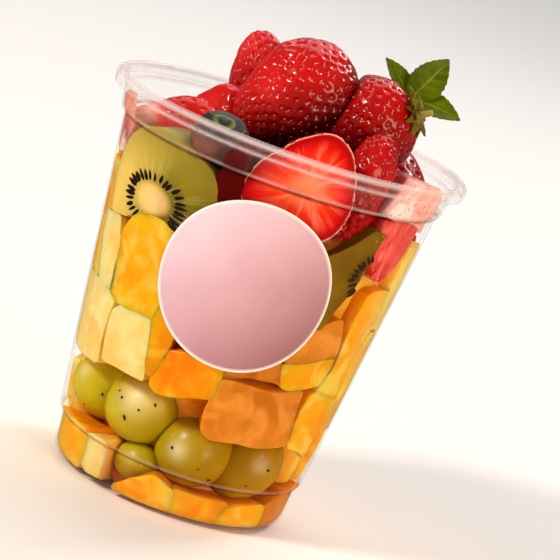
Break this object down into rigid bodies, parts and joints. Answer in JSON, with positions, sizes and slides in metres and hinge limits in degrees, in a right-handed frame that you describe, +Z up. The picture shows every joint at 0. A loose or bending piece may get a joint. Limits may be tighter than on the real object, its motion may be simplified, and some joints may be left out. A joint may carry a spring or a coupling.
{
  "type": "fruit cup",
  "caption": "Clear tapered dessert cup filled with cut mango, melon, kiwi and grapes, heaped over the rim with strawberries and a mint sprig; a bare round label on the front.",
  "frame": {"origin": "centre of the cup's flat base, on the surface it stands on", "axes": "+Z up along the cup's axis; the round label faces -Y; +X to the right seen from the front"},
  "size_m": [0.098, 0.098, 0.1335],
  "materials": {
    "clear_pet": "clear thermoformed PET, glossy",
    "label_film": "round pale pink sticker with a satin film, bare",
    "strawberry": "wet glossy strawberry skin with seeds",
    "cut_strawberry": "wet cut strawberry flesh",
    "kiwi": "wet kiwi flesh with dark seeds and a cream core",
    "mango": "wet ripe mango flesh",
    "melon": "wet pale orange melon flesh",
    "grape": "glossy pale green grape skin",
    "dark_berry": "dark berry skin with a dull bloom",
    "mixed_fruit": "mixed cut fruit in its juice",
    "mint_leaf": "fresh green leaf, waxy sheen"
  },
  "bodies": {
    "root": {"cup": "clear_pet", "dark_berry_front": "dark_berry", "fruit_core": "mixed_fruit", "grape_back": "grape", "grape_front": "grape", "grape_front_left": "grape", "grape_left": "grape", "grape_low": "grape", "grape_right": "grape", "kiwi_back": "kiwi", "kiwi_left": "kiwi", "kiwi_right": "kiwi", "label": "label_film", "mango_back_base": "mango", "mango_back_left": "mango", "mango_back_long": "mango", "mango_back_right": "mango", "mango_back_upper": "mango", "mango_base_front": "mango", "mango_base_front_left": "mango", "mango_base_left": "mango", "mango_base_right": "mango", "mango_behind_label_left": "mango", "mango_behind_label_right": "mango", "mango_front": "mango", "mango_front_upper": "mango", "mango_left_edge": "mango", "mango_left_strip": "mango", "mango_right_bottom": "mango", "mango_right_edge": "mango", "mango_right_long": "mango", "mango_right_low": "mango", "mango_small": "mango", "mango_under_kiwi": "mango", "melon_back": "melon", "melon_back_base": "melon", "melon_base_left": "melon", "melon_base_right": "melon", "melon_front": "melon", "melon_left": "melon", "melon_left_front": "melon", "melon_right": "melon", "melon_right_edge": "melon", "melon_under_label": "melon", "mint_sprig": "mint_leaf", "strawberry_back": "strawberry", "strawberry_back_left": "strawberry", "strawberry_back_right": "strawberry", "strawberry_back_wall": "strawberry", "strawberry_behind_label": "strawberry", "strawberry_half_front": "cut_strawberry", "strawberry_middle": "strawberry", "strawberry_right": "strawberry", "strawberry_rim_right": "strawberry", "strawberry_slice_inner": "strawberry", "strawberry_slice_left": "strawberry", "strawberry_top_left": "strawberry", "strawberry_wall_left": "cut_strawberry", "strawberry_wall_right": "strawberry", "strawberry_wedge_right": "cut_strawberry"}
  },
  "joints": []
}
